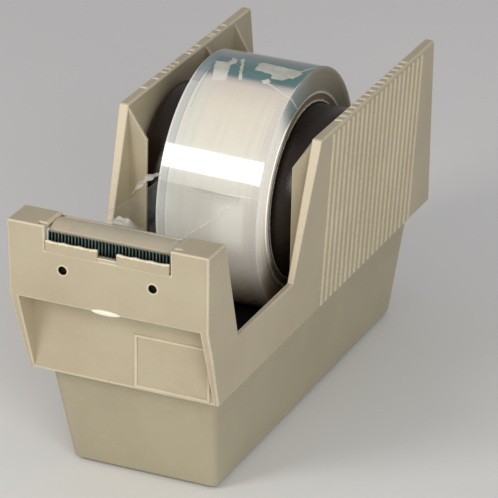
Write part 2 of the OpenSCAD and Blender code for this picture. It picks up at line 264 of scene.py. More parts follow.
# ------------------------------------------------------------------ material helpers
class Nodes:
    def __init__(self, name):
        self.m = bpy.data.materials.new(name)
        self.m.use_nodes = True
        self.t = self.m.node_tree
        self.bsdf = self.t.nodes["Principled BSDF"]
        self.out = self.t.nodes["Material Output"]
        self.co = self.t.nodes.new("ShaderNodeTexCoord").outputs["Object"]

    def link(self, a, b):
        self.t.links.new(a, b)

    def node(self, kind, **props):
        n = self.t.nodes.new(kind)
        for k, v in props.items():
            setattr(n, k, v)
        return n

    def noise(self, scale, detail=3.0, rough=0.55, co=None, lac=2.0, dist=0.0):
        n = self.node("ShaderNodeTexNoise")
        n.inputs["Scale"].default_value = scale
        n.inputs["Detail"].default_value = detail
        n.inputs["Roughness"].default_value = rough
        n.inputs["Lacunarity"].default_value = lac
        n.inputs["Distortion"].default_value = dist
        self.link(co or self.co, n.inputs["Vector"])
        return n.outputs["Fac"]

    def stretch(self, s, co=None):
        n = self.node("ShaderNodeVectorMath", operation="MULTIPLY")
        self.link(co or self.co, n.inputs[0])
        n.inputs[1].default_value = s
        return n.outputs[0]

    def math(self, op, a, b=None, c=None, clamp=False):
        n = self.node("ShaderNodeMath", operation=op, use_clamp=clamp)
        for i, v in enumerate((a, b, c)):
            if v is None:
                continue
            if isinstance(v, (int, float)):
                n.inputs[i].default_value = v
            else:
                self.link(v, n.inputs[i])
        return n.outputs[0]

    def ramp(self, v, a, b, lo=0.0, hi=1.0, kind="SMOOTHSTEP"):
        n = self.node("ShaderNodeMapRange", interpolation_type=kind)
        self.link(v, n.inputs["Value"])
        n.inputs["From Min"].default_value, n.inputs["From Max"].default_value = a, b
        n.inputs["To Min"].default_value, n.inputs["To Max"].default_value = lo, hi
        return n.outputs["Result"]

    def mix(self, f, a, b):
        n = self.node("ShaderNodeMix", data_type="RGBA")
        if isinstance(f, (int, float)):
            n.inputs["Factor"].default_value = f
        else:
            self.link(f, n.inputs["Factor"])
        for s, v in ((n.inputs[6], a), (n.inputs[7], b)):
            if isinstance(v, (tuple, list)):
                s.default_value = (*v[:3], 1)
            else:
                self.link(v, s)
        return n.outputs[2]

    def xyz(self, co=None):
        n = self.node("ShaderNodeSeparateXYZ")
        self.link(co or self.co, n.inputs[0])
        return n.outputs

    def stops(self, v, lo, hi, table):
        """Colour along v: a table of (value, colour) spread over lo..hi."""
        n = self.node("ShaderNodeValToRGB")
        self.link(self.ramp(v, lo, hi, kind="LINEAR"), n.inputs[0])
        e = n.color_ramp.elements
        while len(e) < len(table):
            e.new(1.0)
        for el, (at, c) in zip(e, table):
            el.position = (at - lo) / (hi - lo)
            el.color = (*c[:3], 1)
        return n.outputs[0]

    def cover(self, u, v, pts, soft=0.15):
        """1 inside a convex outline given in millimetres, counter-clockwise."""
        d = None
        for (a, b), (c, e) in zip(pts, pts[1:] + pts[:1]):
            h = math.hypot(c - a, e - b)
            nu, nv = -(e - b) / h, (c - a) / h
            q = self.math("MULTIPLY_ADD", u, nu, self.math("MULTIPLY_ADD", v, nv, -(nu * a + nv * b)))
            d = q if d is None else self.math("MINIMUM", d, q)
        return self.ramp(d, -soft, soft)

    def stroke(self, u, v, p, q, width, soft=0.12):
        """1 along a straight line from p to q, in millimetres."""
        h = math.hypot(q[0] - p[0], q[1] - p[1])
        tu, tv = (q[0] - p[0]) / h, (q[1] - p[1]) / h
        along = self.math("MULTIPLY_ADD", u, tu, self.math("MULTIPLY_ADD", v, tv, -(tu * p[0] + tv * p[1])))
        off = self.math("ABSOLUTE", self.math("MULTIPLY_ADD", u, -tv, self.math("MULTIPLY_ADD", v, tu, tv * p[0] - tu * p[1])))
        d = self.math("MINIMUM", self.math("SUBTRACT", width / 2, off), self.math("MINIMUM", along, self.math("SUBTRACT", h, along)))
        return self.ramp(d, -soft, soft)

    def bump(self, height, strength, distance, normal=None):
        n = self.node("ShaderNodeBump")
        n.inputs["Strength"].default_value = strength
        n.inputs["Distance"].default_value = distance
        self.link(height, n.inputs["Height"])
        if normal is not None:
            self.link(normal, n.inputs["Normal"])
        return n.outputs[0]

    def set(self, **kw):
        for k, v in kw.items():
            s = self.bsdf.inputs[k.replace("_", " ")]
            if isinstance(v, (int, float)):
                s.default_value = v
            elif isinstance(v, (tuple, list)):
                s.default_value = (*v[:3], 1)
            else:
                self.link(v, s)
        return self


def srgb(r, g, b):
    return tuple(((c / 255 + 0.055) / 1.055) ** 2.4 if c / 255 > 0.04045 else c / 255 / 12.92 for c in (r, g, b))


def moulded(name, light, dark, rough=0.42, grain=0.05, spec=0.5, rub=0.0):
    """Satin moulded plastic: two close tones in slow clouds, fine spark-eroded grain, faint rub marks."""
    k = Nodes(name)
    clouds = k.noise(28, 4, 0.6)
    fine = k.noise(420, 3, 0.6)
    specks = k.noise(2600, 2, 0.5)
    tone = k.math("ADD", k.math("MULTIPLY", clouds, 0.75), k.math("MULTIPLY", fine, 0.25))
    col = k.mix(k.ramp(tone, 0.36, 0.64), dark, light)
    # faint grime that settles in slow streaks
    streak = k.noise(60, 5, 0.65, k.stretch((1, 1, 0.28)))
    col = k.mix(k.ramp(streak, 0.56, 0.8, 0, 0.16), col, tuple(c * 0.72 for c in dark))
    r = k.math("ADD", k.ramp(fine, 0.3, 0.7, rough - 0.035, rough + 0.045), k.ramp(clouds, 0.35, 0.7, 0, 0.05))
    scratch = k.noise(900, 2, 0.4, k.stretch((0.12, 0.12, 1)))
    n1 = k.bump(specks, grain, 0.00012)
    n2 = k.bump(fine, grain * 0.9, 0.0003, n1)
    n3 = k.bump(scratch, grain * 0.4, 0.0001, n2)
    k.set(Base_Color=col, Roughness=r, Normal=n3, Specular_IOR_Level=spec)
    return k.m


HOUSING = moulded("housing_plastic_shell", srgb(191, 179, 152), srgb(184, 171, 144), 0.40)
# lighter copy of the housing plastic: painted highlight on rounded edges, ribs, rims and the frame
HOUSING_EDGE_HIGHLIGHT = moulded("housing_plastic_edge_highlight", srgb(214, 202, 175), srgb(206, 193, 166), 0.28, 0.03)
# lighter copy for the plates' sloping front edges: painted highlight where the key light catches them
HOUSING_FRONT_HIGHLIGHT = moulded("housing_plastic_front_highlight", srgb(228, 213, 186), srgb(220, 205, 176), 0.32, 0.03)
TUB = moulded("tub_plastic_shell", srgb(179, 170, 144), srgb(172, 162, 136), 0.46, 0.08)
# glossier copy for the top-edge ridges: the gloss is the finish, the lighter colour is painted highlight
RIDGE_HIGHLIGHT = moulded("housing_plastic_polished_highlight", srgb(226, 216, 192), srgb(214, 203, 177), 0.16, 0.02, 0.6)
# near-white copy for the thumb rest: painted highlight
THUMB_HIGHLIGHT = moulded("housing_plastic_thumb_highlight", srgb(252, 247, 226), srgb(246, 240, 216), 0.20, 0.02, 0.6)
# near-black plastic for the inside of the pin holes: painted shade
HOLE_SHADE = moulded("pin_hole_painted_shade", (0.010, 0.009, 0.008), (0.006, 0.006, 0.005), 0.6, 0.05, 0.2)
# lighter copy of the tub plastic for edges, a painted highlight; no piece uses it
TUB_EDGE_HIGHLIGHT = moulded("tub_plastic_edge_highlight", srgb(196, 184, 157), srgb(188, 176, 148), 0.38, 0.06)


# ------------------------------------------------------------------ upper housing
def build_housing():
    # outer solid: side outline with splayed sides, the nose splays less above the cut
    P = [(PANEL_Y, PART_Z), (lerp(PANEL_Y, -134.8, 27.5 / 42.6), CUT_Z), (-134.8, 98.1), (-136.5, NOSE_Z),
         (-118.3, NOSE_Z - 0.2), (-101, CUT_Z), (-40, CUT_Z), (-17.5, PLATE_Z), (123.5, PLATE_Z), (136.5, PART_Z)]
    X = [hx(PART_Z), hx(CUT_Z), nx(98.1), nx(NOSE_Z), nx(NOSE_Z), hx(CUT_Z), hx(CUT_Z), hx(PLATE_Z), hx(PLATE_Z), hx(PART_Z)]
    n = len(P)
    v = [(-x, y, z) for x, (y, z) in zip(X, P)] + [(x, y, z) for x, (y, z) in zip(X, P)]
    f = [(0, 1, 5, 6, 7, 8, 9), (1, 2, 3, 4, 5), tuple(n + i for i in (0, 1, 5, 6, 7, 8, 9)), tuple(n + i for i in (1, 2, 3, 4, 5))]
    f += [(i, (i + 1) % n, n + (i + 1) % n, n + i) for i in range(n)]
    body = mesh_object("housing_body", v, f)

    rear_in = lerp(136.5, 123.5, (86 - PART_Z) / (PLATE_Z - PART_Z)) - 3
    W = [(PANEL_Y + 3, 58), (PANEL_Y + 3, 101.1), (-131.7, 101.1), (-133.4, 132.4), (-117, 132.4), (-117, 200),
         (160, 200), (160, 86), (rear_in, 86), (133.1, 58)]
    body = boolean(body, prism_yz("well", W, lambda y, z: wx(z)), "DIFFERENCE")
    body = boolean(body, block("recess", (-44.3, -150, 50), (44.3, PANEL_Y, 98.1)), "DIFFERENCE")
    body = boolean(body, block("opening", (-36.4, -90, 50), (36.4, 106, 59)), "DIFFERENCE")
    body = boolean(body, block("notch", (-30.4, -150, 123.5), (30.4, -117.5, 150)), "DIFFERENCE")
    for s in (-1, 1):
        body = boolean(body, block("step", (min(s * 29, s * 34.6), -134.7, NOSE_Z - 1.0), (max(s * 29, s * 34.6), -132.4, 150)), "DIFFERENCE")
        body = boolean(body, cylinder("pin_hole", "y", 2.05, -150, -120, s * 21.85, 115.2, 40), "DIFFERENCE")

    def weight(e):
        a, b = e.verts[0].co, e.verts[1].co
        mid = (a + b) / 2
        if math.hypot(abs(mid.x) - 21.85, mid.z - 115.2) < 2.3:
            return 0.0
        if e.calc_face_angle_signed(0) < 0:
            return 0.0
        if abs(abs(mid.x) - 30.4) < 0.1 and mid.z > 134.5 and e.calc_length() > 5:
            return 0.9
        if mid.z > 144 or mid.y < -100:
            if e.calc_length() < 3.2:
                return 0.2
            return 0.57
        return 0.47

    # rounded edges go to slot 1, the lighter edge material: painted highlight
    bevel(body, 1.5, weight, segments=4, edge_slot=1)
    shade(body)
    while len(body.data.materials) < 6:
        body.data.materials.append(None)
    for p in body.data.polygons:
        c, nrm = p.center, p.normal
        if math.hypot(abs(c.x) - 21.85, c.z - 115.2) < 2.3 and c.y < -131 and abs(nrm.y) < 0.5:
            p.material_index = 2  # inside of the pin holes, near black as painted shade
        elif -41 < c.y < -16 and 84 < c.z < 146 and nrm.y < -0.85:
            p.material_index = 5  # front edges of the plates, lighter as painted highlight
    return body


body = build_housing()


def section_bar(name, path, half_w, height, sink=0.4, seg=8):
    """Half-round bar along a path of (base point, out direction, scale); the width runs along Y."""
    loops = []
    for (x, y, z), (ox, oz), s in path:
        loop = []
        for i in range(seg + 1):
            t = math.pi * i / seg
            d = height * s * math.sin(t) ** 0.8 if 0 < i < seg else 0.0
            loop.append((x + ox * d, y - half_w * max(s, 0.25) * math.cos(t), z + oz * d))
        loop.append((x - ox * sink, y + half_w * max(s, 0.25), z - oz * sink))
        loop.append((x - ox * sink, y - half_w * max(s, 0.25), z - oz * sink))
        loops.append(loop)
    return rings(name, loops, closed=False, caps=True)


def build_details():
    parts = []
    tilt = 4.5 / 90.8
    for s in (-1, 1):
        for i in range(20):
            y = -3 + 5.8 * i
            # the outline's rear edge leans forward, so the last rib stays inside it by itself
            path = [((s * hx(z), y, z), (s, 0), k) for z, k in
                    ((56.2, 0.35), (56.5, 0.8), (57.0, 1), (80, 1), (110, 1), (142.6, 1), (143.5, 0.97), (144.1, 0.85), (144.5, 0.62), (144.72, 0.25))]
            # ribs in the lighter edge material: painted highlight along each rib
            parts.append(paint(shade(section_bar("rib", path, 0.82, 0.79), 50), 1))
            if 2 <= i <= 16:
                # low ridge across the top edge, in line with the rib; glossier than the housing, and lighter as painted
                # highlight
                z0, w = PLATE_Z, 0.8 + 0.35 * rnd.random()
                tall, lean = 0.36 + 0.12 * rnd.random(), 0.5 * (rnd.random() - 0.5)
                path = []
                for x, k, dz in ((46.75, 0.25, -0.28), (47.0, 0.7, -0.06), (47.4, 1, 0), (48.7, 1, 0), (49.9, 1, 0), (50.35, 0.75, -0.04), (50.75, 0.3, -0.22)):
                    path.append(((s * x, y, z0 + dz), (0, 1), k))
                loops = []
                for (x, yy, z), _, k in path:
                    loop = []
                    for j in range(9):
                        t = math.pi * j / 8
                        loop.append((x, yy + lean * (x - 48.7) / 2 - w * math.cos(t), z + tall * k * math.sin(t) ** 0.7))
                    loop += [(x, yy + w, z - 0.4), (x, yy - w, z - 0.4)]
                    loops.append(loop)
                parts.append(paint(shade(rings("ridge", loops, closed=False, caps=True), 50), 3))
        # gussets inside the plates; their rounded edges take the lighter edge material as painted highlight
        for y, knee in ((-17.6, 130), (69.5, 132), (103.5, 128)):
            g = prism_xz("gusset", [(s * 36.8, 57), (s * 36.8, knee), (s * 46.9, 145.7), (s * 47.4, 145.7), (s * 45.6, 57)], y, y + 2)
            bevel(g, 0.45, lambda e: 1.0, segments=2, edge_slot=1)
            parts.append(shade(g))
        # cradle for the axle; its rounded edges take the lighter edge material as painted highlight
        c = prism_xz("cradle", [(s * 43.9, 88), (s * (hx(88) - 0.9), 88), (s * (hx(134) - 0.9), 134), (s * 43.9, 134)], HUB_Y - 8, HUB_Y + 8)
        a, b = sorted((s * 40, s * 45.6))
        c = boolean(c, cylinder("slot", "x", 4.08, a, b, HUB_Y, HUB_Z, 64), "DIFFERENCE")
        c = boolean(c, block("slot", (a, HUB_Y - 4.08, HUB_Z), (b, HUB_Y + 4.08, 140)), "DIFFERENCE")
        c = boolean(c, prism_yz("mouth", [(HUB_Y, 134 - 5.66), (HUB_Y + 5.66, 134), (HUB_Y, 134 + 5.66), (HUB_Y - 5.66, 134)],
                                lambda y, z: b, lambda y, z: a), "DIFFERENCE")
        bevel(c, 0.35, lambda e: 1.0 if e.calc_length() > 1.2 and e.calc_face_angle_signed(0) > 0 else 0.0, segments=2, edge_slot=1)
        parts.append(shade(c))
        # raised rim round the pin hole, in the lighter edge material as painted highlight
        prof = [(2.07, 0.8), (2.07, -0.1), (2.16, -0.24), (2.34, -0.32), (2.6, -0.32), (2.86, -0.24), (3.04, -0.08), (3.14, 0.2), (3.14, 0.8)]
        y0 = lerp(-134.8, -136.5, (115.2 - 98.1) / 37.3)
        loops = []
        for j in range(48):
            t = 2 * math.pi * j / 48
            loops.append([(s * 21.85 + r * math.cos(t), y0 + d - 1.7 / 37.3 * r * math.sin(t), 115.2 + r * math.sin(t)) for r, d in prof])
        parts.append(paint(shade(rings("rim", loops)), 1))
        # bosses over the joint screws
        for y in (-100, 115.5):
            c = cylinder("boss", "z", 5, 57.5, 59.9, s * 30, y, 48)
            bevel(c, 0.4, lambda e: 1.0, angle=60, segments=2)
            parts.append(shade(c))
    # raised frame on the recessed panel: an empty field, in the lighter edge material as painted highlight
    loops = []
    for inset, d in ((0, 0.4), (0, -0.45), (0.22, -0.66), (0.5, -0.72), (0.9, -0.72), (1.18, -0.66), (1.4, -0.45), (1.4, 0.4)):
        x0, x1, z0, z1 = 5.4 + inset, 42.6 - inset, 56.6 + inset, 83 - inset
        loops.append([(x0, PANEL_Y + d, z0), (x1, PANEL_Y + d, z0), (x1, PANEL_Y + d, z1), (x0, PANEL_Y + d, z1)])
    fr = rings("raised_frame", loops)
    parts.append(paint(shade(fr, 60), 1))
    # thumb rest on the lower edge of the nose, near white as painted highlight
    loops = []
    for j in range(1, 16):
        t = math.pi * j / 16
        r = math.sin(t)
        loops.append([(-1.2 - 7.2 * math.cos(t), -134.55 + 1.25 * r * math.cos(q), 98.5 + 1.35 * r * math.sin(q))
                      for q in [2 * math.pi * i / 20 for i in range(20)]])
    parts.append(paint(shade(rings("thumb_rest", loops, closed=False, caps=True), 60), 4))
    return parts


housing_parts = build_details()
housing = join("housing_shell", [body] + housing_parts)
m = housing.modifiers.new("normals", "WEIGHTED_NORMAL")
m.keep_sharp, m.weight, m.mode = True, 50, "FACE_AREA"
place(housing, "housing", [HOUSING, HOUSING_EDGE_HIGHLIGHT, HOLE_SHADE, RIDGE_HIGHLIGHT, THUMB_HIGHLIGHT, HOUSING_FRONT_HIGHLIGHT], "upper_housing")


# ------------------------------------------------------------------ tub, floor and feet
def tub_ring(z, inset, r, seg=8):
    t = z / PART_Z
    hw = lerp(36, 41, t) - inset
    y0, y1 = lerp(-95.8, -110.4, t) + inset, lerp(115.7, 125.5, t) - inset
    r = max(0.2, r)
    out = []
    for cx, cy, a0 in ((hw - r, y0 + r, -90), (hw - r, y1 - r, 0), (-hw + r, y1 - r, 90), (-hw + r, y0 + r, 180)):
        for i in range(seg + 1):
            a = math.radians(a0 + 90 * i / seg)
            out.append((cx + r * math.cos(a), cy + r * math.sin(a), z))
    return out


def build_tub():
    loops = [tub_ring(z, i, r) for z, i, r in (
        (1.5, 1.35, 2.4), (1.62, 0.85, 2.8), (1.95, 0.42, 3.1), (2.45, 0.13, 3.35), (3.1, 0.0, 3.5),
        (12, 0, 3.5), (25, 0, 3.5), (40, 0, 3.5), (54.6, 0, 3.5), (55.2, 0.12, 3.4), (55.48, 0.4, 3.2),
        (55.5, 2.6, 1.4), (55.3, 2.9, 1.0), (54.8, 3.0, 0.9), (40, 3, 0.9), (20, 3, 0.9), (4, 3, 0.9), (1.9, 3, 0.9), (1.5, 2.7, 1.2))]
    o = rings("tub_shell", loops)
    shade(o, 60)
    place(o, "housing", [TUB], "base_tub")
    return o


tub = build_tub()

# ------------------------------------------------------------------ other plastics, metal, rubber
HOLDER = moulded("holder_plastic", srgb(189, 176, 149), srgb(182, 168, 142), 0.36, 0.04)
# lighter copy of the holder plastic: painted highlight on the lips' top edge and the floor's rounded edges
HOLDER_EDGE_HIGHLIGHT = moulded("holder_edge_highlight", srgb(240, 227, 199), srgb(232, 219, 190), 0.20, 0.02)
BAR = moulded("bar_plastic", srgb(197, 184, 160), srgb(189, 176, 152), 0.34, 0.03)


def hub_material():
    k = Nodes("hub_plastic_gloss")
    clouds = k.noise(35, 4, 0.6)
    fine = k.noise(700, 3, 0.5)
    turn = k.noise(1500, 2, 0.5, k.stretch((1, 0.05, 0.05)))
    col = k.mix(k.ramp(clouds, 0.35, 0.65), (0.0150, 0.0078, 0.0050), (0.0215, 0.0115, 0.0075))
    dust = k.ramp(k.noise(5200, 2, 0.7), 0.70, 0.80, 0, 0.05)
    col = k.mix(dust, col, (0.16, 0.13, 0.11))
    r = k.ramp(k.math("ADD", k.math("MULTIPLY", clouds, 0.6), k.math("MULTIPLY", fine, 0.4)), 0.3, 0.7, 0.26, 0.35)
    k.set(Base_Color=col, Roughness=r, Specular_IOR_Level=0.36, Normal=k.bump(fine, 0.06, 0.0002, k.bump(turn, 0.05, 0.0001)))
    return k.m


def blade_material():
    k = Nodes("blade_steel_dark")
    xyz = k.xyz()
    brushed = k.noise(2200, 3, 0.6, k.stretch((1, 1, 0.06)))
    # painted reflection on the ridges, painted shade in the grooves and low down behind the lips, lighter ground points
    groove_shade = k.ramp(xyz[1], -0.13440, -0.13385)
    ridge = k.mix(k.ramp(brushed, 0.3, 0.75), (0.13, 0.185, 0.18), (0.27, 0.34, 0.32))
    col = k.mix(groove_shade, ridge, (0.006, 0.011, 0.012))
    # darker low down: painted shadow behind the lips
    col = k.mix(k.ramp(xyz[2], 0.1262, 0.1285, 0.75, 0.0), col, (0.008, 0.010, 0.011))
    tip = k.ramp(xyz[2], (BAR_Z + 11.9) * MM, (BAR_Z + 12.35) * MM)
    col = k.mix(k.math("MULTIPLY", tip, 0.8), col, (0.52, 0.54, 0.50))
    k.set(Base_Color=col, Metallic=0.7, Roughness=k.ramp(brushed, 0.2, 0.8, 0.26, 0.42), Normal=k.bump(brushed, 0.10, 0.0001))
    return k.m


def metal(name, a, b, rough):
    k = Nodes(name)
    n = k.noise(900, 4, 0.6, k.stretch((0.2, 1, 1)))
    spots = k.noise(160, 4, 0.7)
    col = k.mix(k.ramp(n, 0.3, 0.7), a, b)
    col = k.mix(k.ramp(spots, 0.62, 0.8, 0, 0.35), col, tuple(c * 0.45 for c in a))
    k.set(Base_Color=col, Metallic=1.0, Roughness=k.ramp(n, 0.3, 0.7, rough, rough + 0.14), Normal=k.bump(n, 0.08, 0.0001))
    return k.m


def rubber():
    k = Nodes("rubber_black")
    n = k.noise(1800, 4, 0.7)
    dust = k.ramp(k.noise(90, 5, 0.7), 0.5, 0.8, 0, 0.35)
    k.set(Base_Color=k.mix(dust, (0.018, 0.018, 0.019), (0.085, 0.08, 0.072)), Roughness=k.ramp(n, 0.3, 0.7, 0.72, 0.92), Normal=k.bump(n, 0.25, 0.0002))
    return k.m


# black panel under the roll with real dust; its black is partly painted shade deep in the well
def black_floor_shade():
    k = Nodes("well_floor_black_shade")
    n = k.noise(1300, 4, 0.7)
    dust = k.ramp(k.noise(70, 6, 0.72), 0.48, 0.8, 0, 0.3)
    k.set(Base_Color=k.mix(dust, (0.010, 0.010, 0.011), (0.06, 0.055, 0.05)), Roughness=k.ramp(n, 0.3, 0.7, 0.55, 0.8), Normal=k.bump(n, 0.2, 0.0002))
    return k.m


def stone():
    k = Nodes("ballast_cast")
    n, g = k.noise(120, 6, 0.7), k.noise(1500, 3, 0.7)
    k.set(Base_Color=k.mix(k.ramp(n, 0.35, 0.7), (0.22, 0.21, 0.19), (0.38, 0.36, 0.32)), Roughness=k.ramp(g, 0.3, 0.7, 0.8, 0.98), Normal=k.bump(g, 0.5, 0.0005))
    return k.m


def nylon():
    k = Nodes("bush_nylon")
    n = k.noise(600, 3, 0.6)
    k.set(Base_Color=k.mix(k.ramp(n, 0.3, 0.7), (0.66, 0.64, 0.58), (0.74, 0.72, 0.66)), Roughness=k.ramp(n, 0.3, 0.7, 0.32, 0.45), Normal=k.bump(n, 0.06, 0.0002))
    return k.m


HUB = hub_material()
BLADE = blade_material()
SCREW = metal("screw_zinc", (0.50, 0.50, 0.52), (0.62, 0.62, 0.63), 0.28)
AXLE = metal("axle_ground", (0.56, 0.56, 0.57), (0.66, 0.66, 0.66), 0.20)
# pins near black so the pin holes read as deep shade: partly a blackened finish, partly painted shade
PIN_SHADE = metal("pin_blackened_shade", (0.012, 0.012, 0.013), (0.03, 0.03, 0.032), 0.45)
RUBBER, FLOOR_BLACK_SHADE, STONE, NYLON = rubber(), black_floor_shade(), stone(), nylon()


def polar(k):
    """Distance from the hub axis and angle round it (radians, 0 to the rear, 90 degrees up), in the object's own coordinates."""
    xyz = k.xyz()
    y, z = k.math("SUBTRACT", xyz[1], HUB_Y * MM), k.math("SUBTRACT", xyz[2], HUB_Z * MM)
    r = k.math("SQRT", k.math("ADD", k.math("MULTIPLY", y, y), k.math("MULTIPLY", z, z)))
    return xyz[0], r, k.math("ARCTAN2", z, y)


def deg(v):
    return math.radians(v)


def roll_surface():
    """Outside of the wound clear tape: cream where the core shows through, grey-green over the top as painted
    reflection of a dark teal surround, torn pale pieces between.
    """
    k = Nodes("tape_film_outside")
    x, r, th = polar(k)
    th = k.math("WRAP", th, deg(270), deg(-90))
    u0, v0 = k.math("MULTIPLY", x, 1000.0), k.math("MULTIPLY", th, ROLL_R)

    def mm(a):
        return math.radians(a) * ROLL_R

    # torn edges wander a little
    w1, w2 = k.noise(330, 4, 0.62), k.noise(300, 4, 0.62, k.stretch((1, 1.3, 1)))
    u = k.math("ADD", u0, k.math("MULTIPLY", k.math("SUBTRACT", w1, 0.5), 2.2))
    v = k.math("ADD", v0, k.math("MULTIPLY", k.math("SUBTRACT", w2, 0.5), 2.2))
    cloud = k.noise(38, 3, 0.5)
    # cream body round the roll, with painted shade: greyer towards the rear, browner and darker towards the bottom
    # front under the nose
    cream = k.stops(k.math("ADD", th, k.math("MULTIPLY", k.math("SUBTRACT", cloud, 0.5), 0.12)), deg(-90), deg(270), [
        (deg(-90), srgb(176, 172, 160)), (deg(0), srgb(196, 192, 180)), (deg(100), srgb(222, 213, 202)), (deg(112), srgb(233, 223, 208)),
        (deg(124), srgb(241, 232, 214)), (deg(140), srgb(242, 236, 220)), (deg(160), srgb(236, 232, 220)), (deg(184), srgb(232, 227, 217)),
        (deg(200), srgb(220, 212, 202)), (deg(214), srgb(206, 193, 176)), (deg(230), srgb(196, 172, 142)), (deg(262), srgb(176, 156, 130))])
    band = k.noise(420, 3, 0.5, k.stretch((1, 0.02, 0.02)))
    cream = k.mix(k.ramp(band, 0.45, 0.75, 0, 0.30), cream, srgb(214, 211, 202))
    # fuller white right of the seam, under the bright band
    full = k.math("MULTIPLY", k.math("MULTIPLY", k.ramp(u0, -1, 9), k.ramp(u0, 20.5, 16.5)), k.math("MULTIPLY", k.ramp(th, deg(163), deg(171)), k.ramp(th, deg(194), deg(183))))
    cream = k.mix(k.math("MULTIPLY", full, 0.8), cream, srgb(255, 251, 241))
    # cooler towards the left third
    cream = k.mix(k.ramp(u0, -6, -20, 0, 0.55), cream, srgb(226, 229, 220))
    # painted reflection of a dark teal surround over the top, from behind the crown to its front edge, greyer at its
    # edge
    rear = k.ramp(th, deg(30), deg(60), 0.12, 1)
    edge = k.math("ADD", v0, k.math("MULTIPLY", k.math("SUBTRACT", cloud, 0.5), 3.0))
    teal_reflection = k.math("MULTIPLY", rear, k.ramp(edge, mm(103.4), mm(106.6), 1, 0))
    haze = k.math("MULTIPLY", rear, k.ramp(edge, mm(104), mm(110.5), 0.85, 0))
    green = k.mix(k.ramp(cloud, 0.38, 0.62), srgb(54, 108, 102), srgb(76, 126, 124))
    green = k.mix(k.ramp(v0, mm(88), mm(76), 0, 0.85), green, srgb(16, 80, 68))
    green = k.mix(k.ramp(u0, -7, -16, 0, 0.6), green, srgb(112, 134, 136))
    green = k.mix(k.ramp(v0, mm(96), mm(105), 0, 0.45), green, srgb(116, 140, 146))
    fibre = k.noise(700, 3, 0.6, k.stretch((0.25, 1, 1)))
    green = k.mix(k.ramp(fibre, 0.55, 0.75, 0, 0.22), green, srgb(134, 156, 154))
    col = k.mix(haze, cream, srgb(176, 172, 176))
    col = k.mix(teal_reflection, col, green)
    # torn pieces that still show the layer below
    piece = k.mix(k.ramp(k.noise(160, 3, 0.6), 0.35, 0.65), srgb(186, 188, 174), srgb(206, 207, 194))
    left = k.cover(u, v, [(-20.2, mm(94.6)), (-12.6, mm(93.4)), (-8.8, mm(108.5)), (-15.2, mm(110.0))], 0.25)
    horn = k.cover(u, v, [(-14.6, mm(87.6)), (-11.4, mm(88.6)), (-10.4, mm(93.5)), (-13.8, mm(97))], 0.25)
    right = k.cover(u, v, [(-0.3, mm(89.4)), (1.2, mm(87.2)), (21.2, mm(89.6)), (23.2, mm(92.2)), (20.4, mm(98.4)), (12.4, mm(98.0)), (0.6, mm(96.2))], 0.25)
    lap = k.cover(u, v, [(9.4, mm(96.5)), (20.2, mm(97.4)), (16.6, mm(101.0)), (11.2, mm(101.2))], 0.25)
    tail = k.stroke(u, v, (21, mm(90.4)), (24.8, mm(81)), 0.9)
    strip_ = k.stroke(u, v, (-9.8, mm(86.6)), (-2.6, mm(105.8)), 1.45)
    knot = k.cover(u, v, [(7.4, mm(103.9)), (10.2, mm(101.6)), (11.7, mm(103.6)), (9.9, mm(106.2))], 0.25)
    crack = k.stroke(u, v, (10.2, mm(104.6)), (25.6, mm(112.4)), 0.8, 0.2)
    # painted highlight: a thin bright line along the roll where the film lifts away
    lift_highlight = k.stroke(u0, v0, (4.7, mm(164.0)), (25.4, mm(163.2)), 0.42, 0.12)
    pale = left
    for m_ in (horn, right, lap, tail, strip_, knot, crack):
        pale = k.math("MAXIMUM", pale, m_)
    col = k.mix(pale, col, k.mix(k.ramp(v0, mm(98), mm(107)), piece, srgb(240, 236, 226)))
    col = k.mix(k.math("MULTIPLY", lift_highlight, 0.85), col, srgb(255, 254, 248))
    blob = k.cover(u, v, [(-22.6, mm(88.4)), (-15.0, mm(87.0)), (-13.9, mm(91.4)), (-16.8, mm(93.6)), (-23.2, mm(94.2))], 0.35)
    col = k.mix(k.math("MULTIPLY", blob, 0.85), col, srgb(88, 106, 112))
    rim_piece = k.math("MULTIPLY", k.ramp(v0, mm(84), mm(100)), k.cover(u, v0, [(-24.6, 0), (-20.6, 0), (-20.6, mm(112)), (-24.6, mm(112))], 0.3))
    col = k.mix(k.math("MULTIPLY", rim_piece, 0.6), col, srgb(150, 158, 162))
    dark = k.stroke(u0, v0, (-19.3, mm(93.5)), (-18.7, mm(127)), 0.28, 0.18)
    col = k.mix(k.math("MULTIPLY", dark, 0.45), col, srgb(118, 122, 126))
